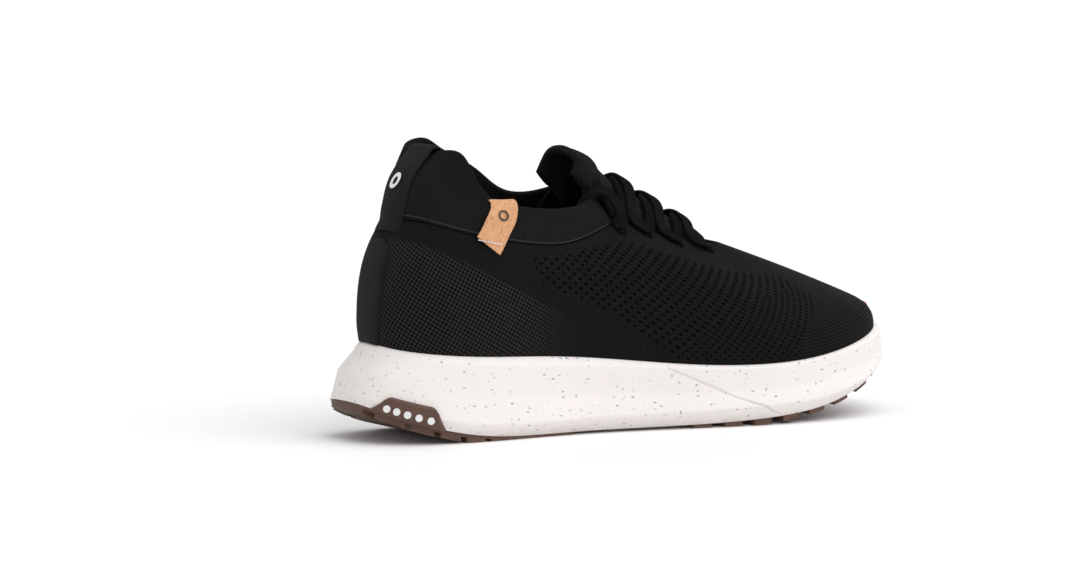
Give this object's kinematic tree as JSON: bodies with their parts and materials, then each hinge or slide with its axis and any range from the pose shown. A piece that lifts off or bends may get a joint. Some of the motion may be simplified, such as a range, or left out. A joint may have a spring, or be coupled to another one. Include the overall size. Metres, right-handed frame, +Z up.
{
  "type": "running shoe",
  "caption": "Low knit running shoe for the right foot with a tall ribbed heel collar, flat laces, a folding tongue top and a thick rockered foam sole.",
  "frame": {"origin": "middle of the sole's outline, on the plane that the shoe stands on", "axes": "+X to the toe, +Y to the medial side of this right shoe, +Z up"},
  "size_m": [0.2996, 0.108, 0.1371],
  "materials": {
    "foam": "moulded foam with fine specks",
    "outsole_rubber": "matt moulded rubber",
    "board": "pressed fibre board",
    "insole": "open foam",
    "lining": "smooth knit lining",
    "knit": "flat knit with coarse, fine and open areas",
    "counter": "thermoformed sheet",
    "cuff_knit": "fine rib knit",
    "light_thread": "twisted thread",
    "stay": "bonded tape",
    "tongue_knit": "padded knit",
    "lace_braid": "flat ribbed braid",
    "aglet": "shrunk film",
    "webbing": "woven tape",
    "white_print": "printed ink",
    "cork": "cork sheet with dark flecks",
    "dark_print": "printed ink"
  },
  "bodies": {
    "shoe": {"midsole": "foam", "outsole_heel": "outsole_rubber", "outsole_forefoot": "outsole_rubber", "outsole_heel_window": "outsole_rubber", "window_dots": "white_print", "strobel_board": "board", "strobel_stitch": "light_thread", "insole_foam": "insole", "insole_top_cloth": "lining", "upper_knit": "knit", "heel_counter": "counter", "heel_lining": "lining", "toe_puff": "counter", "collar_cuff": "cuff_knit", "collar_seam_stitch": "light_thread", "eyestay_lateral": "stay", "eyestay_medial": "stay", "tongue": "tongue_knit", "lace": "lace_braid", "lace_aglets": "aglet", "heel_tape": "webbing", "heel_loop_ends": "webbing", "side_label": "cork", "side_label_stitch": "light_thread", "side_label_print": "dark_print", "toe_label": "cork"},
    "tongue_top": {"tongue_top": "tongue_knit"},
    "pull_loop": {"heel_pull_loop": "webbing", "loop_print": "white_print"}
  },
  "joints": [
    {"name": "tongue_fold", "type": "hinge", "parent": "shoe", "child": "tongue_top", "pos_m": [-0.01219, -0.00126, 0.123], "axis": [0, 1, 0], "range_deg": [0, 45], "stiffness_Nm_per_rad": 0.02},
    {"name": "heel_loop_pull", "type": "slide", "parent": "shoe", "child": "pull_loop", "axis": [-0.769, 0, 0.6392], "range_m": [0, 0.004], "stiffness_N_per_m": 200}
  ]
}
